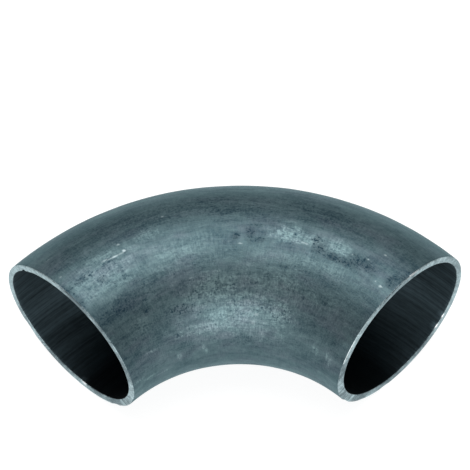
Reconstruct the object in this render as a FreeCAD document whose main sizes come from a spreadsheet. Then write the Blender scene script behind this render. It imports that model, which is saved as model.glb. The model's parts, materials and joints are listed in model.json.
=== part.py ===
# A butt-weld pipe elbow: one length of steel tube formed round a quarter turn, with no seam,
# no weld and no other piece. Its two ends are cut square to the tube and deburred.
#
# Millimetres, +Z up. The elbow lies on its side, so its centreline is a level arc that is the
# same on both sides of the YZ plane. The back of the bend faces +Y. The open ends face -Y, one
# of them to the left and the other to the right. The origin is on the surface that the elbow
# lies on, under the middle of its bounding box.

import FreeCAD, Part
import math
import os
import Sketcher

NODE = "elbow_body"

# Each driving dimension: its name in the sheet, its value in millimetres or degrees, and what it is.
DIMENSIONS = [
    ("outside_diameter", 88.9, "outside of the tube, for a DN 80 pipe"),
    ("wall", 4.0, "thickness of the tube"),
    ("bend_radius", 114.5, "from the centre of the bend to the tube's centreline"),
    ("bend_angle", 90.0, "from the face of one end to the face of the other"),
    ("outer_edge_break", 0.4, "deburring chamfer round the outside of each end"),
    ("inner_edge_break", 0.3, "deburring chamfer round the bore of each end"),
]

# Expressions that the features share, in terms of the sheet's cells.
OUTER_RADIUS = "dimensions.outside_diameter / 2"
BORE_DIAMETER = "dimensions.outside_diameter - 2 * dimensions.wall"
BACK_OF_BEND = f"(dimensions.bend_radius + {OUTER_RADIUS})"
INSIDE_OF_BEND = f"(dimensions.bend_radius - {OUTER_RADIUS} + dimensions.outer_edge_break)"
FRONT_OF_ENDS = f"{INSIDE_OF_BEND} * cos(dimensions.bend_angle / 2)"
MIDDLE_OF_DEPTH = f"({BACK_OF_BEND} + {FRONT_OF_ENDS}) / 2"

LENGTH_TOLERANCE = 1e-4  # mm, for telling one edge of the tube from another


def make_sheet(doc):
    """The spreadsheet that holds the driving dimensions, one to a row."""
    sheet = doc.addObject("Spreadsheet::Sheet", "dimensions")
    for row, (alias, value, meaning) in enumerate(DIMENSIONS, start=1):
        sheet.set(f"A{row}", alias)
        sheet.set(f"B{row}", str(value))
        sheet.set(f"C{row}", meaning)
        sheet.setAlias(f"B{row}", alias)
    doc.recompute()
    return sheet


def origin_plane(body, role):
    """One of the body's own origin planes, such as YZ_Plane."""
    return next(feature for feature in body.Origin.OriginFeatures if feature.Role == role)


def name_last_constraint(sketch, name, expression):
    """Names the constraint that was added last and binds it to the sheet."""
    sketch.renameConstraint(sketch.ConstraintCount - 1, name)
    sketch.setExpression(f"Constraints.{name}", expression)


def add_section(body, sheet):
    """The tube's section: two circles on one centre, a bend radius out from the centre of the bend."""
    sketch = body.newObject("Sketcher::SketchObject", "tube_section")
    sketch.AttachmentSupport = [(origin_plane(body, "YZ_Plane"), "")]
    sketch.MapMode = "FlatFace"

    centre = FreeCAD.Vector(sheet.bend_radius, 0, 0)
    normal = FreeCAD.Vector(0, 0, 1)
    outer_radius = sheet.outside_diameter / 2
    outside = sketch.addGeometry(Part.Circle(centre, normal, outer_radius))
    bore = sketch.addGeometry(Part.Circle(centre, normal, outer_radius - sheet.wall))

    whole_sketch = -1  # the sketch's own origin (point 1) and horizontal axis
    origin_point = 1
    centre_point = 3
    sketch.addConstraint(Sketcher.Constraint("Coincident", outside, centre_point, bore, centre_point))
    sketch.addConstraint(Sketcher.Constraint("PointOnObject", outside, centre_point, whole_sketch))
    sketch.addConstraint(
        Sketcher.Constraint(
            "DistanceX", whole_sketch, origin_point, outside, centre_point, sheet.bend_radius
        )
    )
    name_last_constraint(sketch, "bend_radius", "dimensions.bend_radius")
    sketch.addConstraint(Sketcher.Constraint("Diameter", outside, sheet.outside_diameter))
    name_last_constraint(sketch, "outside_diameter", "dimensions.outside_diameter")
    sketch.addConstraint(Sketcher.Constraint("Diameter", bore, sheet.outside_diameter - 2 * sheet.wall))
    name_last_constraint(sketch, "bore_diameter", BORE_DIAMETER)
    return sketch


def add_bend(doc, body, sketch):
    """The section swept round the upright axis through the centre of the bend, half each way."""
    bend = body.newObject("PartDesign::Revolution", "bend")
    bend.Profile = sketch
    bend.ReferenceAxis = (sketch, ["V_Axis"])
    bend.Midplane = True
    bend.setExpression("Angle", "dimensions.bend_angle")
    sketch.Visibility = False
    doc.recompute()
    return bend


def end_circles(shape, radius):
    """Names of the shape's circular edges of that radius: one round each end of the tube."""
    names = []
    for number, edge in enumerate(shape.Edges, start=1):
        is_circle = isinstance(edge.Curve, Part.Circle)
        if is_circle and abs(edge.Curve.Radius - radius) < LENGTH_TOLERANCE:
            names.append(f"Edge{number}")
    return names


def add_edge_break(doc, body, base, label, radius, size):
    """A deburring chamfer on the two end edges of that radius."""
    chamfer = body.newObject("PartDesign::Chamfer", label)
    chamfer.Base = (base, end_circles(base.Shape, radius))
    chamfer.setExpression("Size", size)
    doc.recompute()
    return chamfer


def make_elbow(doc, sheet):
    """The elbow: bent tube, deburred ends, laid on its side over the origin."""
    body = doc.addObject("PartDesign::Body", NODE)
    body.Label = NODE
    bend = add_bend(doc, body, add_section(body, sheet))
    outer_radius = sheet.outside_diameter / 2
    outer_break = add_edge_break(
        doc, body, bend, "outer_edge_break", outer_radius, "dimensions.outer_edge_break"
    )
    inner_break = add_edge_break(
        doc, body, outer_break, "inner_edge_break", outer_radius - sheet.wall, "dimensions.inner_edge_break"
    )
    body.Tip = inner_break
    body.setExpression(".Placement.Base.y", f"-{MIDDLE_OF_DEPTH}")
    body.setExpression(".Placement.Base.z", OUTER_RADIUS)
    doc.recompute()
    return body


def check_document(doc, bodies):
    """Stops the build if any object failed, or if a sub-part has no sound solid."""
    for item in doc.Objects:
        if "Invalid" in item.State or "Error" in item.State:
            raise RuntimeError(f"{item.Label} did not recompute: {item.State}")
    for body in bodies:
        if body.Shape.isNull() or not body.Shape.isValid() or len(body.Shape.Solids) != 1:
            raise RuntimeError(f"{body.Label} is not one valid solid")


def check_edge_breaks(body):
    """Stops the build unless each chamfer took some metal off what came before it."""
    solids = [feature for feature in body.Group if feature.isDerivedFrom("PartDesign::Feature")]
    for before, after in zip(solids, solids[1:]):
        if after.Shape.Volume >= before.Shape.Volume:
            raise RuntimeError(f"{after.Label} cut nothing")


def report(body, sheet):
    """Prints the elbow's size and compares its volume with section times centreline length."""
    outer_radius = sheet.outside_diameter / 2
    section = math.pi * (outer_radius**2 - (outer_radius - sheet.wall) ** 2)
    centreline = math.radians(sheet.bend_angle) * sheet.bend_radius
    box = body.Shape.optimalBoundingBox()
    print(f"{body.Label}: {box.XLength:.2f} x {box.YLength:.2f} x {box.ZLength:.2f} mm")
    print(f"  from ({box.XMin:.3f}, {box.YMin:.3f}, {box.ZMin:.3f})")
    print(f"  to ({box.XMax:.3f}, {box.YMax:.3f}, {box.ZMax:.3f})")
    print(f"  volume {body.Shape.Volume:.0f} mm3, section times length {section * centreline:.0f} mm3")


def main():
    os.makedirs("parts", exist_ok=True)
    doc = FreeCAD.newDocument("pipe_elbow")
    sheet = make_sheet(doc)
    elbow = make_elbow(doc, sheet)
    check_document(doc, [elbow])
    check_edge_breaks(elbow)
    report(elbow, sheet)
    elbow.Shape.exportStep(f"parts/{elbow.Label}.step")


main()
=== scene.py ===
# %% [markdown]
# # A butt-weld pipe elbow in bare black steel
# On the real object this is one length of steel tube. It was pushed hot over a mandrel, which bent
# it through a quarter turn, and its two ends were then cut square, ready to be welded to pipe.
# It has no seam, no fastener and no second piece, so one good mesh and three good finishes make it.
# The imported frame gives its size, and this lesson builds the surface that a person would see.

# %% Load the frame
import json
import math

import bpy
import numpy as np
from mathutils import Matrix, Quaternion, Vector


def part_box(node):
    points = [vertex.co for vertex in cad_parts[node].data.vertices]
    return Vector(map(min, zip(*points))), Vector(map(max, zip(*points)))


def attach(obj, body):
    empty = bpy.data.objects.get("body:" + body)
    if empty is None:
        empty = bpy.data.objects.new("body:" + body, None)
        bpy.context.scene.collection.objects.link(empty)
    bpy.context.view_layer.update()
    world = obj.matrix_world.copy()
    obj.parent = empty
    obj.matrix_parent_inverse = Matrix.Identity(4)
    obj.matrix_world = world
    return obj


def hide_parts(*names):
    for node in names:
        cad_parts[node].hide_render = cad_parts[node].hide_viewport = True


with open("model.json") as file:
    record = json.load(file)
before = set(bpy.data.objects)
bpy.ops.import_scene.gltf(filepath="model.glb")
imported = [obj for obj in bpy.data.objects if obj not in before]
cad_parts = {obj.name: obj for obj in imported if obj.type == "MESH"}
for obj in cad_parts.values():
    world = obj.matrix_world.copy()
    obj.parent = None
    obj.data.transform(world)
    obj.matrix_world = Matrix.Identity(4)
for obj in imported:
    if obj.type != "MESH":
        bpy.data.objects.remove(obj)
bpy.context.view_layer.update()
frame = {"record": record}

# %% [markdown]
# The frame holds all that the tube's shape needs. The elbow lies on its side, so its height is the
# tube's outside diameter. Each weld end is a mount whose point is at the top of the end ring, in
# the middle of the wall, and whose axis points out of the tube: together they give the wall, the
# bend radius and the angle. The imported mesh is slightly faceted, so sizes are rounded to 0.1 mm.

# %% Work the tube's sizes out from the frame
low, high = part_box("elbow_body")
mounts = {mount["name"]: mount for mount in frame["record"]["mounts"]}
ring_top = Vector(mounts["weld_end_left"]["pos_m"])
out_of_end = Vector(mounts["weld_end_left"]["axis"])

tube_radius = round(high.z - low.z, 4) / 2
wall = round(2 * (low.z + 2 * tube_radius - ring_top.z), 4)
half_turn = math.atan2(-out_of_end.y, -out_of_end.x)  # from the middle of the bend to one end
bend_radius = round(-ring_top.x / math.sin(half_turn), 4)
bend_centre = Vector((0, ring_top.y - bend_radius * math.cos(half_turn), low.z + tube_radius))
half_length = bend_radius * half_turn
print(f"tube {2000 * tube_radius:.1f} mm across, wall {1000 * wall:.1f} mm")
print(f"bend radius {1000 * bend_radius:.1f} mm, turn {2 * math.degrees(half_turn):.1f} degrees")

# %% [markdown]
# ## Tube space
# Scale, scratches and drawing marks follow the metal, so their patterns must bend with the tube.
# Object coordinates would cut straight through it. This lesson places everything where it was while
# the tube was still straight: across the section in x and y, with x towards the back of the bend
# and y up, and along the centreline in z. A place on the skin is then an angle round the tube, from
# 0 at the back over 90 on top to 180 inside the bend, and a distance along it from its middle.

# %% Helpers that go from tube space to the bent tube and back
def in_tube_space(points):
    """Where points of the bent tube were while it was straight."""
    from_centre = points - np.array(bend_centre)
    out = np.hypot(from_centre[:, 0], from_centre[:, 1])
    turned = np.arctan2(from_centre[:, 0], from_centre[:, 1])
    return np.stack([out - bend_radius, from_centre[:, 2], bend_radius * turned], axis=1)


def on_section(around, radius):
    """x and y in tube space, from an angle in degrees and a distance from the centreline."""
    turned = math.radians(around)
    return Vector((radius * math.cos(turned), radius * math.sin(turned)))


def on_bend(around, radius, along):
    """The point of the bent tube at that angle, distance from the centreline and length along it."""
    section = on_section(around, radius)
    turned = along / bend_radius
    out = (bend_radius + section.x) * Vector((math.sin(turned), math.cos(turned), 0))
    return bend_centre + out + Vector((0, 0, section.y))


def points_of(piece):
    """The places of a piece's vertices, one row each."""
    found = np.empty(3 * len(piece.data.vertices), dtype=np.float32)
    piece.data.vertices.foreach_get("co", found)
    return found.reshape(-1, 3).astype(float)


# %% [markdown]
# ## The tube
# Bending a straight cylinder with a modifier would stretch its faces unevenly. Spinning one circle
# about the upright axis through the centre of the bend gives an exact torus, with every ring of
# vertices square to the tube, which is also how the real ends are cut.

# %% Spin the section round the bend
AROUND = 320  # vertices round the tube
ALONG = 110  # rings from one end to the other

bpy.ops.object.select_all(action="DESELECT")
bpy.ops.mesh.primitive_circle_add(
    vertices=AROUND,
    radius=tube_radius,
    fill_type="NOTHING",
    location=on_bend(0, 0, -half_length),
    rotation=(math.pi / 2, 0, math.pi / 2 + half_turn),
)
elbow = bpy.context.object
elbow.name = "elbow"
elbow.data.name = "elbow"
bpy.ops.object.transform_apply(location=True, rotation=True, scale=True)

bpy.ops.object.mode_set(mode="EDIT")
bpy.ops.mesh.select_all(action="SELECT")
bpy.ops.mesh.spin(steps=ALONG, angle=2 * half_turn, center=bend_centre, axis=(0, 0, 1))
bpy.ops.mesh.select_all(action="SELECT")
bpy.ops.mesh.normals_make_consistent(inside=False)
bpy.ops.object.mode_set(mode="OBJECT")
print(len(elbow.data.vertices), "vertices in the skin")
print("its box in mm:", [round(1000 * size, 2) for size in elbow.dimensions])

# %% [markdown]
# ## Waves that forming leaves
# The mandrel never leaves a perfect torus. The skin keeps shallow waves a few centimetres long,
# which nobody sees as shape but everybody sees in the way that light wavers on it. Bump in the
# material would only fake them, so two Displace modifiers press them inwards, by tenths of a
# millimetre: one with long waves, and one with shorter dimples. The clouds' brightest value is
# about 0.78, so that value is the one which stays in place, and no point stands outside the tube.

# %% Press the forming waves into the skin
BRIGHTEST = 0.78  # the cloud texture's value where the skin stays in place
# name, size and depth in m
WAVES = [
    ("forming_waves", 0.045, 0.00035),
    ("forming_dimples", 0.012, 0.00012),
]


def press_waves(piece, name, size, depth):
    """Moves the surface inwards by up to that depth, in soft clouds of that size."""
    waves = bpy.data.textures.new(name, "CLOUDS")
    waves.noise_scale = size
    waves.noise_depth = 1
    press = piece.modifiers.new(name, "DISPLACE")
    press.texture = waves
    press.texture_coords = "LOCAL"
    press.strength = depth
    press.mid_level = BRIGHTEST
    bpy.ops.object.modifier_apply(modifier=press.name)


for name, size, depth in WAVES:
    press_waves(elbow, name, size, depth)
skin = in_tube_space(points_of(elbow))
skin_radii = 1000 * np.hypot(skin[:, 0], skin[:, 1])
print(f"skin radius from {skin_radii.min():.2f} to {skin_radii.max():.2f} mm")

# %% [markdown]
# ## The wall
# Solidify gives the skin its wall and closes each end with a ring of faces. It is set to grow
# inwards only, so the outside stays where the design has it. The waves go through to the bore, as
# they do in a formed tube. A real bore is never quite central either, so this one is then moved up
# a little and spread from the centre of the bend. That leaves the wall thinner on top and along
# the back, which forming stretches, and the ends stay in their planes.

# %% Give the tube its wall
BORE_RISE = 0.0004  # m, how far the bore is above the middle of the section
BORE_BACK = 0.0004  # m, and how far it is towards the back of the bend

middle_of_wall = tube_radius - wall / 2
thicken = elbow.modifiers.new("wall", "SOLIDIFY")
thicken.thickness = wall
thicken.offset = -1
thicken.use_even_offset = True
bpy.ops.object.modifier_apply(modifier=thicken.name)

skin_and_bore = in_tube_space(points_of(elbow))
in_bore = np.hypot(skin_and_bore[:, 0], skin_and_bore[:, 1]) < middle_of_wall
bpy.ops.object.mode_set(mode="EDIT")
bpy.ops.mesh.select_mode(type="VERT")
bpy.ops.mesh.select_all(action="DESELECT")
bpy.ops.object.mode_set(mode="OBJECT")
elbow.data.vertices.foreach_set("select", in_bore)
bpy.ops.object.mode_set(mode="EDIT")
bpy.ops.transform.translate(value=(0, 0, BORE_RISE))
spread = 1 + BORE_BACK / bend_radius
bpy.ops.transform.resize(value=(spread, spread, 1), center_override=bend_centre)
bpy.ops.object.mode_set(mode="OBJECT")
print("with its wall:", len(elbow.data.polygons), "faces")
print(int(in_bore.sum()), "vertices in the bore")

# %% [markdown]
# At the left end the bore is also slightly oval, wider than it is high, and sits a little higher
# and nearer to the centre of the bend. The ring of vertices there is moved in its own plane, and
# proportional editing fades the move along the bore. Everything but the bore is hidden meanwhile,
# because hidden vertices stay where they are.

# %% Draw the bore oval towards the left end
FACE_TOLERANCE = 0.0002  # m, how far from an end's plane a vertex may be and still be on it
OVAL = 0.0004  # m, how much further out the bore is at its sides, and further in above and below
LEFT_RISE = 0.00035  # m, how much higher the bore is at its left end
LEFT_INWARD = 0.0002  # m, and how much nearer to the centre of the bend
FADE = 0.11  # m, how far along the bore the move reaches

bpy.ops.object.mode_set(mode="EDIT")
bpy.ops.mesh.hide(unselected=True)
bpy.ops.mesh.select_all(action="DESELECT")
bpy.ops.object.mode_set(mode="OBJECT")
first_ring = in_bore & (skin_and_bore[:, 2] < FACE_TOLERANCE - half_length)
elbow.data.vertices.foreach_set("select", first_ring)
before = in_tube_space(points_of(elbow))
left_middle = on_bend(0, 0, -half_length)
fading = {
    "use_proportional_edit": True,
    "use_proportional_connected": True,
    "proportional_edit_falloff": "SMOOTH",
    "proportional_size": FADE,
}
bpy.ops.object.mode_set(mode="EDIT")
widened = 1 + OVAL / (tube_radius - wall)
lowered = 1 - OVAL / (tube_radius - wall)
oval = (widened, widened, lowered)
bpy.ops.transform.resize(value=oval, center_override=left_middle, **fading)
inward = (bend_centre - left_middle).normalized() * LEFT_INWARD
bpy.ops.transform.translate(value=(inward.x, inward.y, LEFT_RISE), **fading)
bpy.ops.mesh.reveal(select=False)
bpy.ops.object.mode_set(mode="OBJECT")
after = in_tube_space(points_of(elbow))
grown = np.hypot(after[:, 0], after[:, 1]) - np.hypot(before[:, 0], before[:, 1])
print(f"{int(first_ring.sum())} vertices round the left end of the bore")
print(f"the bore's radius changed by {1000 * grown.min():.2f} to {1000 * grown.max():.2f} mm")
print(f"the outside changed by {1000 * np.abs(grown[~in_bore]).max():.2f} mm")

# %% [markdown]
# ## The cut ends
# The saw and the facing tool leave two sharp edges at each end, one outside and one in the bore,
# and a file takes the burr off both. The ends are already flat. Their circles of edges are picked
# out by place, and Bevel rounds them a little.

# %% File the edges of the ends
OUTER_BREAK = 0.00048  # m, filed off the outside edge
BORE_BREAK = 0.0003  # m, filed off the edge of the bore
BREAK_STEPS = 3  # flats that make up one rounded edge
ROUND_PROFILE = 0.5  # Bevel's value for an even curve


def select_ends(piece, nearest, furthest):
    """Selects what lies on an end face, between two distances from the centreline."""
    place = in_tube_space(points_of(piece))
    radius = np.hypot(place[:, 0], place[:, 1])
    on_end = np.abs(np.abs(place[:, 2]) - half_length) < FACE_TOLERANCE
    chosen = on_end & (radius > nearest) & (radius < furthest)
    bpy.ops.object.mode_set(mode="EDIT")
    bpy.ops.mesh.select_mode(type="VERT")
    bpy.ops.mesh.select_all(action="DESELECT")
    bpy.ops.object.mode_set(mode="OBJECT")
    piece.data.vertices.foreach_set("select", chosen)
    bpy.ops.object.mode_set(mode="EDIT")
    return int(chosen.sum())


for label, nearest, furthest, size in (
    ("outside", middle_of_wall, 2 * tube_radius, OUTER_BREAK),
    ("bore", 0, middle_of_wall, BORE_BREAK),
):
    count = select_ends(elbow, nearest, furthest)
    bpy.ops.mesh.select_mode(type="EDGE")
    bpy.ops.mesh.bevel(offset=size, segments=BREAK_STEPS, profile=ROUND_PROFILE, affect="EDGES")
    bpy.ops.object.mode_set(mode="OBJECT")
    print(f"{label}: {count} vertices filed by {1000 * size:.2f} mm")

# %% [markdown]
# ## Nicks and burrs
# A cut edge on real stock is never perfect: it has been dropped, stacked and dragged. The marks
# here are listed one by one. Each one takes hold of the vertices near a point on an edge and moves
# them, with proportional editing to fade the push out, just as one would by hand.

# %% Knock the edges about
LEFT = -1
RIGHT = 1
HELD_SHARE = 0.4  # a nick takes hold of what is nearer than this share of its reach
HELD_LEAST = 0.0009  # m, and of all that is nearer than this
AIM_DEPTH = 0.001  # m, how far behind the end's plane its push is aimed
# end, angle round the tube, which edge, push into the metal in mm, and reach in mm
NICKS = [
    (LEFT, 43, "bore", 0.55, 1.6),
    (LEFT, 262, "bore", 0.9, 2.0),
    (LEFT, 228, "outside", 0.5, 3.5),
    (LEFT, 196, "outside", 0.35, 3.0),
    (LEFT, 132, "outside", 0.3, 3.0),
    (LEFT, 318, "outside", 0.3, 5.0),
    (RIGHT, 322, "bore", 0.5, 1.6),
    (RIGHT, 311, "bore", 0.7, 2.4),
    (RIGHT, 84, "outside", 0.45, 3.0),
    (RIGHT, 75, "outside", 0.3, 2.0),
    (RIGHT, 148, "outside", 0.45, 5.0),
    (RIGHT, 208, "outside", 0.35, 4.0),
    (RIGHT, 255, "outside", 0.3, 3.0),
]


def knock(piece, end, around, edge, push, reach):
    """Pushes an end's edge into the metal at that angle, with a soft fall-off."""
    radius = tube_radius if edge == "outside" else tube_radius - wall
    spot = on_bend(around, radius, end * half_length)
    into_metal = on_bend(around, middle_of_wall, end * (half_length - AIM_DEPTH)) - spot
    places = points_of(piece)
    nearest = places[np.linalg.norm(places - np.array(spot), axis=1).argmin()]
    held = max(HELD_SHARE * reach, HELD_LEAST)
    near = np.linalg.norm(places - nearest, axis=1) < held
    bpy.ops.object.mode_set(mode="EDIT")
    bpy.ops.mesh.select_mode(type="VERT")
    bpy.ops.mesh.select_all(action="DESELECT")
    bpy.ops.object.mode_set(mode="OBJECT")
    piece.data.vertices.foreach_set("select", near)
    bpy.ops.object.mode_set(mode="EDIT")
    bpy.ops.transform.translate(
        value=push * into_metal.normalized(),
        use_proportional_edit=True,
        use_proportional_connected=True,
        proportional_edit_falloff="SMOOTH",
        proportional_size=reach,
    )
    bpy.ops.object.mode_set(mode="OBJECT")


for end, around, edge, push, reach in NICKS:
    knock(elbow, end, around, edge, push / 1000, reach / 1000)
print(len(NICKS), "nicks;", len(elbow.data.polygons), "faces")

# %% [markdown]
# ## Tube space on the mesh
# The finishes need to know where each point was on the straight tube. A UV map would have a seam
# and would stretch on the inside of the bend. An attribute with three numbers for each vertex has
# neither fault, and it can be read in the finishes as a place in metres.

# %% Keep tube space on the mesh
SMOOTH_BELOW = math.radians(35)  # edges sharper than this stay crisp

tube_places = in_tube_space(points_of(elbow)).astype(np.float32)
tube_attribute = elbow.data.attributes.new("tube", "FLOAT_VECTOR", "POINT")
tube_attribute.data.foreach_set("vector", tube_places.ravel())
bpy.ops.object.shade_smooth_by_angle(angle=SMOOTH_BELOW)
print("tube space kept for", len(tube_places), "vertices")

# %% [markdown]
# ## Helpers for the finishes
# A finish is a tree of small nodes. Wiring one by hand takes three lines a node and hides what the
# tree does, so these helpers put a node down and wire it in one call. Wherever a helper takes a
# value, it may be a plain number or the output of another node.

# %% Put nodes down and wire them
HALF = 0.5  # the middle value of a noise, about which it swings
NOISE_ROUGHNESS = 0.6  # how strong each finer layer of a noise is beside the coarser one


def wire(tree, node, index, value):
    """Gives an input either a link, when the value comes from a node, or a fixed value."""
    if isinstance(value, bpy.types.NodeSocket):
        tree.links.new(value, node.inputs[index])
    else:
        node.inputs[index].default_value = value


def add_node(tree, kind, settings, inputs):
    """A node of that kind. Its settings and its inputs are given by name or number."""
    node = tree.nodes.new("ShaderNode" + kind)
    for name, value in settings.items():
        setattr(node, name, value)
    for index, value in inputs.items():
        wire(tree, node, index, value)
    return node


def maths(tree, operation, *values):
    """One step of arithmetic."""
    return add_node(tree, "Math", {"operation": operation}, dict(enumerate(values))).outputs[0]


def vector_maths(tree, operation, *vectors):
    """One step of arithmetic on places."""
    settings = {"operation": operation}
    return add_node(tree, "VectorMath", settings, dict(enumerate(vectors))).outputs[0]


def length_of(tree, vector):
    """How far a place is from the origin."""
    return add_node(tree, "VectorMath", {"operation": "LENGTH"}, {0: vector}).outputs["Value"]


def move(tree, tone, amount, weight):
    """A tone with a share of some amount added to it."""
    return maths(tree, "MULTIPLY_ADD", amount, weight, tone)


def swing(tree, tone, amount, weight):
    """A tone moved up and down by an amount that swings about a half."""
    return move(tree, tone, maths(tree, "SUBTRACT", amount, HALF), weight)


def between(tree, value, start, end, to_start=0.0, to_end=1.0):
    """A value carried smoothly from one range to another, and held at its ends."""
    settings = {"interpolation_type": "SMOOTHSTEP"}
    inputs = {
        "Value": value,
        "From Min": start,
        "From Max": end,
        "To Min": to_start,
        "To Max": to_end,
    }
    return add_node(tree, "MapRange", settings, inputs).outputs[0]


def blend(tree, amount, first, second, mode="MIX"):
    """Two colours put together by an amount."""
    settings = {"data_type": "RGBA", "blend_type": mode}
    return add_node(tree, "Mix", settings, {0: amount, 6: first, 7: second}).outputs[2]


def stretched(tree, vector, across, along):
    """A place in tube space, divided by one size across the tube and another along it."""
    size = add_node(tree, "CombineXYZ", {}, {"X": across, "Y": across, "Z": along}).outputs[0]
    return vector_maths(tree, "DIVIDE", vector, size)


def noise_at(tree, place, detail, output="Fac"):
    """Cloudy noise about one unit in size, with that many finer layers on it."""
    inputs = {"Vector": place, "Scale": 1.0, "Detail": detail, "Roughness": NOISE_ROUGHNESS}
    return add_node(tree, "TexNoise", {}, inputs).outputs[output]


# %% [markdown]
# ## Node groups
# Scale, cut steel and bore share the same few effects at different sizes. Each effect is built
# once as a group with named inputs and one output, as one would save it for other scenes, and is
# then placed in each finish with that finish's own values.

# %% Make groups and place them
def new_group(name, defaults, output):
    """A group with a Vector input, named number inputs and one output."""
    tree = bpy.data.node_groups.new(name, "ShaderNodeTree")
    tree.interface.new_socket(name="Vector", in_out="INPUT", socket_type="NodeSocketVector")
    for label, default in defaults.items():
        kind = "NodeSocketVector" if label == "Centre" else "NodeSocketFloat"
        socket = tree.interface.new_socket(name=label, in_out="INPUT", socket_type=kind)
        socket.default_value = default
    tree.interface.new_socket(name=output, in_out="OUTPUT", socket_type="NodeSocketFloat")
    given = tree.nodes.new("NodeGroupInput").outputs
    result = tree.nodes.new("NodeGroupOutput").inputs[output]
    return tree, given, result


def place_group(tree, group, vector, **values):
    """A group placed in a finish, with its inputs linked or set: what it puts out."""
    node = tree.nodes.new("ShaderNodeGroup")
    node.node_tree = group
    wire(tree, node, "Vector", vector)
    for name, value in values.items():
        wire(tree, node, name, value)
    return node.outputs[0]


# %% [markdown]
# ### Mottle
# Most of what the eye reads as steel is mottle: cloudy noise, finer or coarser, pulled out along
# the tube where the metal was drawn. Spread sets its contrast. Wander shifts each place a little
# to and fro before the noise is read, so that drawn-out grain wavers instead of running like wire.

# %% Build the mottle group
WANDER_ACROSS = 0.004  # m, size of the shifts round the tube
WANDER_ALONG = 0.010  # m, and along it

mottle, given, result = new_group(
    "mottle",
    {
        "Across": 0.01,
        "Along": 0.01,
        "Detail": 3.0,
        "Spread": 0.25,
        "Middle": 0.5,
        "Wander": 0.0,
    },
    "Amount",
)
sway_place = stretched(mottle, given["Vector"], WANDER_ACROSS, WANDER_ALONG)
sway = noise_at(mottle, sway_place, 1.0, "Color")
sway = vector_maths(mottle, "SUBTRACT", sway, (HALF, HALF, HALF))
reach = add_node(mottle, "CombineXYZ", {}, dict.fromkeys("XYZ", given["Wander"])).outputs[0]
swayed = vector_maths(mottle, "MULTIPLY_ADD", sway, reach, given["Vector"])
cloud_place = stretched(mottle, swayed, given["Across"], given["Along"])
cloudy = noise_at(mottle, cloud_place, given["Detail"])
dark_end = maths(mottle, "SUBTRACT", given["Middle"], given["Spread"])
light_end = maths(mottle, "ADD", given["Middle"], given["Spread"])
mottle.links.new(between(mottle, cloudy, dark_end, light_end), result)
print("mottle:", len(mottle.nodes), "nodes")

# %% [markdown]
# ### Patch
# A rubbed or stained place is a patch somewhere on the tube. Its distance from the centre, in its
# own widths and lengths, fades it out, and noise is added to that distance first, so that the edge
# breaks up into flecks and bays. A clean ellipse would look painted on.

# %% Build the patch group
PATCH_SOFTNESS = 0.85  # share of its radius over which a patch fades
FLECK_STRETCH = 1.8  # the flecks at its edge are this much longer along the tube
FLECK_DETAIL = 4.0  # finer layers on those flecks

patch, given, result = new_group(
    "patch",
    {"Centre": (0, 0, 0), "Across": 0.01, "Along": 0.01, "Ragged": 1.0, "Grain": 0.004},
    "Amount",
)
offset = vector_maths(patch, "SUBTRACT", given["Vector"], given["Centre"])
distance = length_of(patch, stretched(patch, offset, given["Across"], given["Along"]))
fleck_length = maths(patch, "MULTIPLY", given["Grain"], FLECK_STRETCH)
fleck_place = stretched(patch, given["Vector"], given["Grain"], fleck_length)
flecks = noise_at(patch, fleck_place, FLECK_DETAIL)
torn = maths(patch, "MULTIPLY", maths(patch, "SUBTRACT", flecks, HALF), given["Ragged"])
distance = maths(patch, "ADD", distance, torn)
patch.links.new(between(patch, distance, 1.0 - PATCH_SOFTNESS, 1.0, 1.0, 0.0), result)
print("patch:", len(patch.nodes), "nodes")

# %% [markdown]
# ### Scratches
# Where noise passes through its middle value it draws thin wandering lines, like the contours of
# a map. Stretched along the tube, those contours look like the lines that a mandrel and a guide
# leave. A second noise keeps only stretches of them, because no scratch runs the whole way.

# %% Build the scratches group
KEPT_SIZE = 2.5  # the stretches that stay are this much larger than the lines' own noise
KEPT_FROM = 0.5  # a line starts to show where that second noise passes this value
KEPT_FULLY = 0.6  # and shows fully above this one

scratches, given, result = new_group(
    "scratches",
    {"Across": 0.004, "Along": 0.04, "Thin": 0.02},
    "Amount",
)
place = stretched(scratches, given["Vector"], given["Across"], given["Along"])
from_half = maths(scratches, "SUBTRACT", noise_at(scratches, place, 1.0), HALF)
ridge = maths(scratches, "ABSOLUTE", from_half)
lines = between(scratches, ridge, 0.0, given["Thin"], 1.0, 0.0)
wider_place = vector_maths(scratches, "DIVIDE", place, (KEPT_SIZE, KEPT_SIZE, KEPT_SIZE))
kept = between(scratches, noise_at(scratches, wider_place, 2.0), KEPT_FROM, KEPT_FULLY)
scratches.links.new(maths(scratches, "MULTIPLY", lines, kept), result)
print("scratches:", len(scratches.nodes), "nodes")

# %% [markdown]
# ## Where the scale is rubbed and stained
# The elbow has been slid over a bench, stacked and handled. It is rubbed bright where it touched
# others: on top, along the inside of the bend, and in places on its back and underneath. It is
# stained where scale flaked or oil dried. The marks are listed one by one, each by its angle round
# the tube and its distance along it. Lists keep them easy to move, as a decal would be.
# One long dark band along the back shoulder, listed among the stains, is painted shade.

# %% Lay patches over each other
def any_patch(tree, vector, radius, marks):
    """The strongest of several patches on the tube at that radius."""
    strongest = None
    for around, along, width, length, strength, ragged, grain in marks:
        section = on_section(around, radius)
        amount = place_group(
            tree,
            patch,
            vector,
            Centre=(section.x, section.y, along / 1000),
            Across=width / 2000,
            Along=length / 2000,
            Ragged=ragged,
            Grain=grain / 1000,
        )
        amount = maths(tree, "MULTIPLY", amount, strength)
        strongest = amount if strongest is None else maths(tree, "MAXIMUM", strongest, amount)
    return strongest


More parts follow.
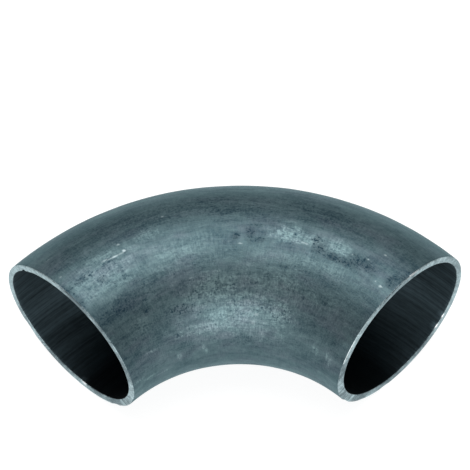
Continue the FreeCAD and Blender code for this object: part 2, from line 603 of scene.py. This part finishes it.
# %% List the marks on the skin
# degrees round the tube, mm along it, width and length in mm, strength, raggedness and
# fleck size in mm
RUBBED = [
    (146, 2, 46, 112, 0.52, 2.2, 5.0),
    (150, 14, 18, 26, 0.30, 2.0, 2.0),
    (142, 32, 20, 28, 0.85, 2.0, 2.0),
    (154, -22, 12, 50, 0.72, 2.0, 3.0),
    (134, -26, 16, 36, 0.55, 2.2, 3.0),
    (126, 24, 22, 104, 0.50, 2.0, 5.0),
    (134, 12, 14, 38, 0.78, 2.0, 2.5),
    (128, -12, 21, 46, 0.85, 2.0, 2.5),
    (138, -66, 16, 24, 0.40, 1.8, 3.0),
    (91, 28, 15, 28, 0.85, 1.8, 2.5),
    (90, 52, 11, 20, 0.62, 1.8, 2.5),
    (91, 40, 10, 16, 0.60, 1.8, 2.5),
    (97, -68, 34, 56, 0.52, 1.6, 5.0),
    (84, -40, 13, 22, 0.45, 1.8, 3.0),
    (104, -30, 28, 84, 0.34, 1.4, 7.0),
    (107, 40, 15, 90, 0.34, 1.4, 6.0),
    (172, -45, 8, 6, 0.75, 1.2, 1.5),
    (170, -25, 7, 3.5, 0.70, 1.2, 1.5),
    (174, -23, 7, 3.5, 0.70, 1.2, 1.5),
    (158, 63, 9, 3.5, 0.60, 1.2, 1.5),
    (160, 66, 8, 4, 0.70, 1.2, 1.5),
    (159, 75, 10, 4, 0.70, 1.4, 1.8),
    (163, 78, 9, 5, 0.65, 1.4, 1.8),
    (156, -41, 2.6, 16, 0.75, 1.2, 1.5),
    (157, -66, 2.6, 16, 0.60, 1.2, 1.5),
    (124, -25, 3, 24, 0.30, 1.2, 2.0),
    (174, -84, 3.2, 20, 0.55, 1.0, 2.0),
    (178, -72, 3.2, 22, 0.55, 1.0, 2.0),
    (181, -59, 3.2, 18, 0.50, 1.0, 2.0),
    (62, -83, 5, 5, 0.45, 1.2, 1.5),
    (8, -38, 22, 46, 0.55, 1.8, 4.0),
    (352, 30, 16, 60, 0.50, 1.8, 3.5),
    (28, 62, 14, 24, 0.60, 1.8, 2.5),
    (330, -66, 14, 30, 0.55, 1.8, 3.0),
    (14, 8, 3, 26, 0.60, 1.2, 1.5),
    (346, -12, 2.6, 18, 0.60, 1.2, 1.5),
    (270, 0, 16, 130, 0.60, 1.8, 4.0),
    (205, 30, 14, 40, 0.45, 1.8, 3.5),
]
STAINS_AND_SHADE_BAND = [
    (96, 2, 5, 6, 1.00, 0.9, 1.0),
    (93, 9, 14, 8, 0.80, 0.7, 2.0),
    (98, 14, 5, 10, 0.80, 0.9, 2.0),
    (88, 12, 4, 8, 0.50, 0.9, 2.0),
    (92, 42, 13, 6, 1.30, 0.9, 1.2),
    (95, 46, 8, 13, 0.85, 1.3, 1.5),
    (98, 56, 7, 36, 1.05, 1.6, 1.2),
    (94, 67, 13, 24, 1.05, 1.6, 1.6),
    (95, 45, 11, 9, 1.20, 1.0, 1.2),
    (94, 86, 13, 11, 0.90, 1.4, 2.0),
    (138, -37, 8, 28, 1.00, 1.5, 2.0),
    (130, -58, 4, 6, 0.70, 1.3, 1.2),
    (135, -73, 4, 5, 0.50, 1.3, 1.2),
    (121, -72, 13, 72, 0.62, 1.3, 5.0),
    # painted shade: this long, broad band darkens the back shoulder, where the tube reflects little
    # light; it is no stain
    (66, 0, 26, 280, 0.32, 0.8, 8.0),
    (97, -89, 30, 8, 0.70, 1.8, 1.5),
    (88, 89, 26, 6, 0.60, 1.8, 1.5),
    (72, 43, 9, 13, 0.45, 1.4, 2.5),
    (76, -5, 8, 36, 0.45, 1.4, 3.5),
    (92, -80, 3.5, 16, 0.65, 1.6, 1.5),
    (99, -71, 6, 7, 0.80, 1.6, 1.2),
    (105, -67, 3, 5, 0.50, 1.6, 1.2),
    (90, -63, 3, 3, 0.60, 1.2, 1.0),
    (147, -2, 11, 15, 0.35, 1.8, 2.0),
    (168, 8, 7, 30, 0.40, 1.4, 3.0),
    (168, -32, 8, 16, 0.35, 1.4, 3.0),
    (34, -58, 14, 26, 0.60, 1.4, 3.0),
    (356, 66, 16, 22, 0.60, 1.4, 3.0),
    (338, 14, 12, 40, 0.50, 1.5, 3.0),
    (16, 38, 5, 8, 0.80, 1.2, 1.5),
    (300, -36, 18, 44, 0.50, 1.4, 4.0),
    (236, 20, 14, 50, 0.50, 1.4, 4.0),
]
# small bright dents where bare steel shows
BARE = [
    (90, -59, 1.3, 12, 0.60, 1.6, 1.2),
    (89, -54, 2.0, 2.4, 0.85, 1.2, 0.8),
    (83, -55, 1.8, 2.4, 0.50, 1.2, 0.8),
    (89, -65, 1.4, 5.0, 0.45, 1.6, 1.0),
    (73, -31, 1.6, 2.0, 0.40, 1.2, 0.8),
    (80, 74, 1.7, 2.0, 0.60, 1.2, 0.8),
    (89, 69, 1.4, 1.6, 0.50, 1.2, 0.8),
    (91, 61, 1.4, 1.6, 0.35, 1.2, 0.8),
    (100, 83, 1.6, 3.0, 0.65, 1.4, 0.8),
    (99, 79, 1.2, 1.6, 0.45, 1.2, 0.8),
    (101, 4, 1.2, 3.4, 0.40, 1.2, 0.8),
    (81, -86, 1.6, 2.4, 0.35, 1.2, 0.8),
    (152, 14, 4.0, 6.0, 0.22, 2.4, 0.8),
    (146, 16, 2.0, 5.0, 0.28, 2.4, 0.8),
    (95, 37, 2.0, 4.0, 0.40, 2.4, 0.8),
]
print(len(RUBBED), "rubbed,", len(STAINS_AND_SHADE_BAND), "stained and", len(BARE), "bare places")

# %% [markdown]
# ## Black mill scale
# Hot steel grows a blue-black skin of oxide. It is nearly metal to light, neither matt nor
# polished, and never one colour: thin places are paler and greener, thick and stained ones darker
# and more violet. One tone between 0 and 1 is built up first, from the broad clouds down to the
# speckle, and then chooses the colour, so that all of the layers stay in the same family. Most
# layers are drawn out along the tube, as the metal was, and one has fine marks that run round it.

# %% Start a finish
def new_finish(name):
    """A material, its tree, its shader and the tube space that its patterns read."""
    material = bpy.data.materials.new(name)
    material.use_nodes = True
    tree = material.node_tree
    tube = add_node(tree, "Attribute", {"attribute_name": "tube"}, {}).outputs["Vector"]
    return material, tree, tree.nodes["Principled BSDF"], tube


def relief(tree, height, depth):
    """A Bump node's normal, for a height from 0 to 1 that stands for a depth in metres."""
    inputs = {"Strength": 1.0, "Distance": depth, "Height": height}
    return add_node(tree, "Bump", {}, inputs).outputs[0]


# %% Build the scale's tone
PLAIN_SCALE = 0.37  # the tone of scale with nothing on it

black_scale, tree, shader, tube = new_finish("black_scale")
clouds = place_group(tree, mottle, tube, Across=0.014, Along=0.032, Detail=3.0, Spread=0.28)
blotches = place_group(tree, mottle, tube, Across=0.003, Along=0.0055, Spread=0.22, Wander=0.003)
speckle = place_group(tree, mottle, tube, Across=0.0007, Along=0.0010, Detail=2.0, Spread=0.22)
combed = place_group(tree, mottle, tube, Across=0.0009, Along=0.0080, Spread=0.22, Wander=0.0030)
strokes = place_group(tree, mottle, tube, Across=0.0028, Along=0.0300, Spread=0.22, Wander=0.0040)
crossed = place_group(tree, mottle, tube, Across=0.0042, Along=0.0009, Spread=0.14, Wander=0.0020)
layers = [
    (clouds, 0.24),
    (strokes, 0.17),
    (blotches, 0.14),
    (speckle, 0.22),
    (combed, 0.09),
    (crossed, 0.09),
]
tone = PLAIN_SCALE
for layer, weight in layers:
    tone = swing(tree, tone, layer, weight)
print(len(layers), "layers in the scale's tone")

# %% [markdown]
# Rubbing doesn't lay a film over the scale. It takes the tops off and leaves the hollows, so
# inside a rubbed patch bright flecks and longer dashes lie side by side with dark pits. A stain is
# darkest in its pits too. Each starts by darkening the tone and then lifts it again, a rub by its
# flecks, dashes and cross marks, and both of them between their pits. Bare steel shows only in
# small dents.

# %% Rub and stain it
IN_HOLLOWS = -0.53  # what rubbing adds to the tone where nothing lifts it
FLECK_LIFT = 0.46  # and what each kind of mark in a rubbed patch adds to that
DASH_LIFT = 0.26
CROSS_LIFT = 0.30
RUB_PIT_LIFT = 0.50
IN_PITS = -0.66  # what a stain, and the painted shade band, adds in its pits
STAIN_PIT_LIFT = 0.52  # and what it adds to that between them
LINE_WEIGHT = 0.08  # what a thin drawing line adds

rubbed = any_patch(tree, tube, tube_radius, RUBBED)
# stains, and among them one broad band of painted shade along the back shoulder
stains_and_shade_band = any_patch(tree, tube, tube_radius, STAINS_AND_SHADE_BAND)
bare = any_patch(tree, tube, tube_radius, BARE)
crisp = {"Detail": 1.0, "Spread": 0.12}
flecks = place_group(tree, mottle, tube, Across=0.0011, Along=0.0018, Wander=0.0025, **crisp)
dashes = place_group(tree, mottle, tube, Across=0.0009, Along=0.0050, Wander=0.0030, **crisp)
between_pits = {"Detail": 4.0, "Spread": 0.08, "Middle": 0.42}
pits = place_group(tree, mottle, tube, Across=0.0011, Along=0.0014, **between_pits)
thin_lines = place_group(tree, scratches, tube, Across=0.0050, Along=0.0700, Thin=0.016)
rubbed_tone = move(tree, IN_HOLLOWS, flecks, FLECK_LIFT)
rubbed_tone = move(tree, rubbed_tone, dashes, DASH_LIFT)
rubbed_tone = move(tree, rubbed_tone, crossed, CROSS_LIFT)
rubbed_tone = move(tree, rubbed_tone, pits, RUB_PIT_LIFT)
stain_and_shade_tone = move(tree, IN_PITS, pits, STAIN_PIT_LIFT)
tone = move(tree, tone, maths(tree, "MULTIPLY", rubbed, rubbed_tone), 1.0)
tone = move(tree, tone, maths(tree, "MULTIPLY", stains_and_shade_band, stain_and_shade_tone), 1.0)
tone = move(tree, tone, thin_lines, LINE_WEIGHT)
tone.node.use_clamp = True
print("the scale's tree:", len(tree.nodes), "nodes")

# %% [markdown]
# The two ends of the tone are colours for nearly bare, greenish scale and for thick, blue-black
# scale. A second broad mottle pulls the colour towards violet, and so does every stain, less so.

# %% Colour it
VIOLET_SHARE = 0.8  # how far the violet goes where its clouds are thickest
STAIN_SHARE = 0.4  # how violet a stain, and the painted shade band, is beside such a cloud
THICK_SCALE = (0.0165, 0.0415, 0.0580, 1)
THIN_SCALE = (0.176, 0.262, 0.274, 1)
VIOLET = (1.14, 0.98, 1.04, 1)
BARE_STEEL = (0.42, 0.50, 0.52, 1)

scale_colour = blend(tree, tone, THICK_SCALE, THIN_SCALE)
violet_clouds = place_group(tree, mottle, tube, Across=0.009, Along=0.022, Spread=0.16, Middle=0.56)
violet_stains_and_shade = maths(tree, "MULTIPLY", stains_and_shade_band, STAIN_SHARE)
violet_amount = maths(tree, "MAXIMUM", violet_clouds, violet_stains_and_shade)
violet_amount = maths(tree, "MULTIPLY", violet_amount, VIOLET_SHARE)
scale_colour = blend(tree, violet_amount, scale_colour, VIOLET, "MULTIPLY")
tree.links.new(blend(tree, bare, scale_colour, BARE_STEEL), shader.inputs["Base Color"])
print("with its colours:", len(tree.nodes), "nodes")

# %% [markdown]
# Rubbed places are smoother than plain scale, and stains are rougher. The relief is a few
# hundredths of a millimetre deep: grain and combing, with the flecks standing proud of it. The
# tint colours what the scale reflects at a glancing angle, which keeps the tube's edges cool.

# %% Give it gloss and relief
SCALE_ROUGHNESS = 0.52
RUB_ROUGHNESS = -0.06  # what a rubbed patch, a stain and the speckle add to that
STAIN_ROUGHNESS = 0.08
SPECKLE_ROUGHNESS = 0.12
COMBED_HEIGHT = 0.5  # how high the combing and the flecks stand beside the speckle
FLECK_HEIGHT = 0.8
SCALE_METALLIC = 0.92
SCALE_TINT = (0.76, 0.95, 0.98, 1)
SCALE_DEPTH = 0.00003  # m

rough = move(tree, SCALE_ROUGHNESS, rubbed, RUB_ROUGHNESS)
rough = move(tree, rough, stains_and_shade_band, STAIN_ROUGHNESS)
rough = swing(tree, rough, speckle, SPECKLE_ROUGHNESS)
tree.links.new(rough, shader.inputs["Roughness"])
shader.inputs["Metallic"].default_value = SCALE_METALLIC
shader.inputs["Specular Tint"].default_value = SCALE_TINT
height = move(tree, speckle, combed, COMBED_HEIGHT)
height = move(tree, height, maths(tree, "MULTIPLY", flecks, rubbed), FLECK_HEIGHT)
tree.links.new(relief(tree, height, SCALE_DEPTH), shader.inputs["Normal"])
print("with its gloss and relief:", len(tree.nodes), "nodes")

# %% [markdown]
# ## Cut steel
# The end rings were cut after the scale grew, so they are plain steel, paler and smoother than
# anything else here. They have been dulled unevenly by handling, and short file marks cross them
# in places. Stretches of the filed outer edge and chips in the bore are painted near white, as
# painted highlights where these edges catch the light.
# Their marks are lists as well, with the same columns as those on the skin.

# %% List the marks on the end rings
left_end = -1000 * half_length  # mm along the tube
right_end = 1000 * half_length
DULLED = [
    (100, left_end, 30, 20, 1.0, 0.8, 3.0),
    (128, left_end, 26, 20, 0.7, 1.4, 3.0),
    (160, left_end, 34, 20, 0.7, 1.4, 3.0),
    (206, left_end, 16, 20, 0.6, 1.4, 2.0),
    (226, left_end, 30, 20, 1.0, 1.2, 2.0),
    (248, left_end, 24, 20, 0.8, 1.4, 2.0),
    (290, left_end, 36, 20, 0.9, 1.2, 3.0),
    (330, left_end, 26, 20, 0.5, 1.6, 2.0),
    (20, right_end, 50, 20, 0.4, 1.2, 4.0),
    (95, right_end, 50, 20, 0.5, 1.4, 3.0),
    (165, right_end, 24, 20, 0.8, 1.4, 2.5),
    (198, right_end, 24, 20, 0.7, 2.0, 1.2),
    (225, right_end, 26, 20, 0.9, 1.4, 2.5),
    (262, right_end, 40, 20, 0.8, 1.4, 3.0),
    (295, right_end, 24, 20, 0.7, 1.4, 3.0),
]
# painted highlights: stretches of the filed outer edge, painted near white where they catch the
# light
EDGE_HIGHLIGHTS = [
    (247, left_end, 72, 20, 1.0, 1.0, 3.0),
    (147, right_end, 20, 20, 0.6, 1.0, 2.0),
    (80, right_end, 12, 20, 0.5, 1.0, 2.0),
    (250, right_end, 64, 20, 0.8, 1.2, 3.0),
    (315, right_end, 30, 20, 0.3, 1.2, 3.0),
]
FILE_MARKS = [
    (205, left_end, 34, 20, 0.9, 1.4, 2.0),
    (300, left_end, 30, 20, 0.5, 1.4, 2.0),
    (204, right_end, 44, 20, 1.0, 1.4, 2.0),
    (60, right_end, 40, 20, 0.4, 1.4, 2.0),
]
# chips in the bore, painted near white as highlights
CHIPPED = [
    (312, right_end, 5, 8, 1.0, 1.0, 1.0),
    (321, right_end, 4, 8, 1.0, 1.0, 1.0),
    (262, left_end, 5, 8, 0.9, 1.0, 1.0),
    (42, left_end, 2, 8, 0.6, 1.0, 1.0),
]
print(len(DULLED), "dulled,", len(EDGE_HIGHLIGHTS), "bright,", len(FILE_MARKS), "filed places")
print(len(CHIPPED), "chips")

# %% [markdown]
# File marks cross the ring from its bore to its outside. Noise read on the section's direction
# alone, with its distance from the centreline taken out, changes only round the ring, and so it
# draws just such marks.

# %% Find the file marks and the painted highlights on the cut steel
EDGE_WIDTH = 0.0014  # m, the outer strip that the file has touched, where the highlight is painted
EDGE_FULL = 0.00056  # m, the part of that strip where the painted highlight is full
FILE_STEP = 0.016  # the file marks' spacing, as a share of the tube's radius

cut_steel, tree, shader, tube = new_finish("cut_steel")
section = add_node(tree, "SeparateXYZ", {}, {0: tube}).outputs
flat = add_node(tree, "CombineXYZ", {}, {"X": section["X"], "Y": section["Y"]}).outputs[0]
from_axis = length_of(tree, flat)
direction = vector_maths(tree, "NORMALIZE", flat)
fine = {"Across": FILE_STEP, "Along": FILE_STEP, "Detail": 1.0, "Spread": 0.12}
file_marks = maths(tree, "SUBTRACT", place_group(tree, mottle, direction, **fine), HALF)
marked = any_patch(tree, tube, middle_of_wall, FILE_MARKS)
file_marks = maths(tree, "MULTIPLY", file_marks, marked)
# painted highlight along the filed outer edge, where it catches the light
filed = between(tree, from_axis, tube_radius - EDGE_WIDTH, tube_radius - EDGE_FULL)
filed = maths(tree, "MULTIPLY", filed, any_patch(tree, tube, tube_radius, EDGE_HIGHLIGHTS))
chipped = any_patch(tree, tube, tube_radius - wall, CHIPPED)
chips_and_edge_highlights = maths(tree, "MAXIMUM", filed, chipped)
print("the cut steel's tree so far:", len(tree.nodes), "nodes")

# %% Build the cut steel
DULL_STEEL = (0.095, 0.130, 0.145, 1)
CLEAN_STEEL = (0.54, 0.68, 0.71, 1)
FRESH_STEEL_HIGHLIGHT = (0.93, 0.96, 0.97, 1)
PLAIN_STEEL = 0.50  # the tone of cut steel with nothing on it
GRIT_SWING = 0.46  # how far each layer swings that tone
SMEAR_SWING = 0.36
MARK_SWING = 0.70
DULLING = -0.56  # what a dulled place adds to it
STEEL_ROUGHNESS = 0.44
GRIT_ROUGHNESS = 0.16  # how far the grit swings that
SMEAR_HEIGHT = 0.8  # how high the smears stand beside the grit
STEEL_METALLIC = 0.9
STEEL_TINT = (0.85, 0.97, 1.0, 1)
STEEL_DEPTH = 0.00004  # m

dulled = any_patch(tree, tube, middle_of_wall, DULLED)
grit = place_group(tree, mottle, tube, Across=0.0006, Along=0.0006, Detail=2.0, Spread=0.20)
smears = place_group(tree, mottle, tube, Across=0.0032, Along=0.0032, Spread=0.18)
tone = swing(tree, PLAIN_STEEL, grit, GRIT_SWING)
tone = swing(tree, tone, smears, SMEAR_SWING)
tone = move(tree, tone, file_marks, MARK_SWING)
tone = move(tree, tone, dulled, DULLING)
tone.node.use_clamp = True
steel_colour = blend(tree, tone, DULL_STEEL, CLEAN_STEEL)
# painted highlight: near white on the filed edge strips and on the chips
steel_colour = blend(tree, chips_and_edge_highlights, steel_colour, FRESH_STEEL_HIGHLIGHT)
tree.links.new(steel_colour, shader.inputs["Base Color"])
rough = swing(tree, STEEL_ROUGHNESS, grit, GRIT_ROUGHNESS)
tree.links.new(rough, shader.inputs["Roughness"])
shader.inputs["Metallic"].default_value = STEEL_METALLIC
shader.inputs["Specular Tint"].default_value = STEEL_TINT
height = move(tree, grit, smears, SMEAR_HEIGHT)
tree.links.new(relief(tree, height, STEEL_DEPTH), shader.inputs["Normal"])
print("the cut steel's tree:", len(tree.nodes), "nodes")

# %% [markdown]
# ## The bore
# The mandrel wiped the inside of the tube along its length and left fine lines in thin scale. The
# colour is painted paler towards the back of the bend, as painted light, and close to black towards
# the inside of the bend, as painted shade, because little light gets in there.

# %% Build the bore
BORE_DARK = (0.004, 0.005, 0.006, 1)
BORE_LIGHT = (0.122, 0.184, 0.215, 1)
BORE_ROUGHNESS = 0.50
BORE_METALLIC = 0.95
BORE_DEPTH = 0.00004  # m
PAINTED_SHADE_SIDE = -0.014  # m, x in tube space where the painted shade is darkest
PAINTED_LIGHT_SIDE = 0.034  # m, and where the painted light is brightest
PAINTED_SHADE_TONE = 0.06  # the painted-shade tone, towards the inside of the bend
PAINTED_LIGHT_TONE = 0.62  # and the painted-light tone, towards the back of the bend
WIPED_SWING = 0.60  # how far each layer swings it, as a share
WIDE_SWING = 0.45
SOOT_SWING = 0.35

drawn_bore, tree, shader, tube = new_finish("drawn_bore")
wiped = place_group(tree, mottle, tube, Across=0.0010, Along=0.1500, Spread=0.20)
wiped_wide = place_group(tree, mottle, tube, Across=0.0060, Along=0.2000, Spread=0.25)
soot = place_group(tree, mottle, tube, Across=0.0012, Along=0.0040, Spread=0.25)
towards_back = add_node(tree, "SeparateXYZ", {}, {0: tube}).outputs["X"]
# painted shade towards the inside of the bend and painted light towards its back, set by place in
# the bore
tone = between(tree, towards_back, PAINTED_SHADE_SIDE, PAINTED_LIGHT_SIDE, PAINTED_SHADE_TONE, PAINTED_LIGHT_TONE)
texture = swing(tree, 1.0, wiped, WIPED_SWING)
texture = swing(tree, texture, wiped_wide, WIDE_SWING)
texture = swing(tree, texture, soot, SOOT_SWING)
tone = maths(tree, "MULTIPLY", tone, texture)
tone.node.use_clamp = True
tree.links.new(blend(tree, tone, BORE_DARK, BORE_LIGHT), shader.inputs["Base Color"])
shader.inputs["Roughness"].default_value = BORE_ROUGHNESS
shader.inputs["Metallic"].default_value = BORE_METALLIC
tree.links.new(relief(tree, wiped, BORE_DEPTH), shader.inputs["Normal"])
print("the bore's tree:", len(tree.nodes), "nodes")

# %% [markdown]
# ## Finishes on faces
# Three materials go on one mesh, and each face picks one by its place. Faces at the very ends are
# cut steel, with the filed edges among them. What is left is bore or skin, by its distance from
# the centreline.

# %% Put the finishes on
CUT_DEPTH = OUTER_BREAK + 0.00002  # m, the filed edge and a hair more, all of it cut steel
CUT = 1  # the second finish on the mesh; a face has the first, the scale, until told otherwise
BORE = 2  # and the third
for finish in (black_scale, cut_steel, drawn_bore):
    elbow.data.materials.append(finish)

from_centreline = np.hypot(tube_places[:, 0], tube_places[:, 1])
from_middle = np.abs(tube_places[:, 2])
at_the_end = half_length - CUT_DEPTH
counts = [0, 0, 0]
for face in elbow.data.polygons:
    corners = list(face.vertices)
    if from_middle[corners].mean() > at_the_end:
        face.material_index = CUT
    elif from_centreline[corners].mean() < middle_of_wall:
        face.material_index = BORE
    counts[face.material_index] += 1
print("faces with scale, cut steel and bore finish:", counts)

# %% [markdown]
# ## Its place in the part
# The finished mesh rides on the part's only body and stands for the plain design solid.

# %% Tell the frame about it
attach(elbow, "root")
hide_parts("elbow_body")
print(elbow.name, "rides on root and stands for elbow_body")

# %% [markdown]
# ## Floor
# The elbow lies on a plain white floor. A floor that only reflects would need so much light that
# the steel would wash out. Part of its light is therefore its own, as with a back-lit table, and
# the shadow under the elbow stays faint.

# %% Lay the floor
FLOOR_SIZE = 6  # m
FLOOR_GREY = (0.26, 0.26, 0.26, 1)  # what it reflects
FLOOR_ROUGHNESS = 0.9
FLOOR_GLOW = 0.90  # what it gives out
WHITE = (1, 1, 1, 1)

bpy.ops.object.select_all(action="DESELECT")
bpy.ops.mesh.primitive_plane_add(size=FLOOR_SIZE, location=(0, 0, low.z))
floor = bpy.context.object
floor.name = "floor"
white_sweep = bpy.data.materials.new("white_sweep")
white_sweep.use_nodes = True
sweep_shader = white_sweep.node_tree.nodes["Principled BSDF"]
sweep_shader.inputs["Base Color"].default_value = FLOOR_GREY
sweep_shader.inputs["Roughness"].default_value = FLOOR_ROUGHNESS
sweep_shader.inputs["Emission Color"].default_value = WHITE
sweep_shader.inputs["Emission Strength"].default_value = FLOOR_GLOW
floor.data.materials.append(white_sweep)
print("a floor", FLOOR_SIZE, "m wide")

# %% [markdown]
# ## Lights
# Steel shows what it reflects. A wide soft box overhead and a little behind draws the pale band
# along the top of the tube, with a clear edge towards the back. A low soft box in front lights the
# inside of the bend and the end rings. Between them the tube stays dark, which gives it its round
# shape. A white room fills in the rest.

# %% Hang the soft boxes and light the room
ROOM_LIGHT = 0.34
# name, place in m, width and height in m, and power in W
SOFT_BOXES = [
    ("overhead", (0, 0.30, 1.1), 1.0, 1.2, 10.4),
    ("front", (0, -1.3, 0.28), 0.9, 0.45, 7),
]


def hang_soft_box(name, location, aimed_at, width, height, power):
    """A rectangular area light in a place, facing a point."""
    facing = (aimed_at - Vector(location)).to_track_quat("-Z", "Y").to_euler()
    bpy.ops.object.light_add(type="AREA", location=location, rotation=facing)
    box = bpy.context.object
    box.name = name
    box.data.shape = "RECTANGLE"
    box.data.size = width
    box.data.size_y = height
    box.data.energy = power


middle_of_tube = Vector((0, 0, bend_centre.z))
for name, location, width, height, power in SOFT_BOXES:
    hang_soft_box(name, location, middle_of_tube, width, height, power)

room = bpy.data.worlds.new("white_room")
bpy.context.scene.world = room
room.use_nodes = True
room_shader = room.node_tree.nodes["Background"]
room_shader.inputs["Color"].default_value = WHITE
room_shader.inputs["Strength"].default_value = ROOM_LIGHT
print(len(SOFT_BOXES), "soft boxes and a white room")

# %% [markdown]
# ## Camera
# The camera looks down at the open side of the bend through a long lens, from well above and
# nearly straight ahead, with a slight lean. Its direction comes from two angles towards a point near
# the back of the bend. The view is then leaned, and tipped up a little to place the elbow low in
# the picture.

# %% Set the camera up
VIEW_DOWN = math.radians(59.27)
VIEW_ASIDE = math.radians(-2.32)
VIEW_LEAN = math.radians(-3.14)
VIEW_DISTANCE = 1.6047  # m
AIM_ABOVE = 0.0295  # m, how far above the point the lens aims
AIM_OUT = 0.9  # how far that point is from the centre of the bend, as a share of the bend radius
LENS = 248.6  # mm
SENSOR_WIDTH = 36  # mm

looked_at = bend_centre + Vector((0, AIM_OUT * bend_radius, 0))
level = math.cos(VIEW_DOWN)
aside = level * math.sin(VIEW_ASIDE)
ahead = level * math.cos(VIEW_ASIDE)
forward = Vector((aside, ahead, -math.sin(VIEW_DOWN)))
leaned = Quaternion((0, 0, 1), VIEW_LEAN)
tipped = Quaternion((1, 0, 0), math.atan2(AIM_ABOVE, VIEW_DISTANCE))
facing = forward.to_track_quat("-Z", "Y") @ leaned @ tipped

camera_place = looked_at - VIEW_DISTANCE * forward
bpy.ops.object.camera_add(location=camera_place, rotation=facing.to_euler())
camera = bpy.context.object
camera.name = "camera"
camera.data.lens = LENS
camera.data.sensor_width = SENSOR_WIDTH
bpy.context.scene.camera = camera
bpy.context.scene.view_settings.view_transform = "Standard"
print("camera at", [round(place, 3) for place in camera.location])
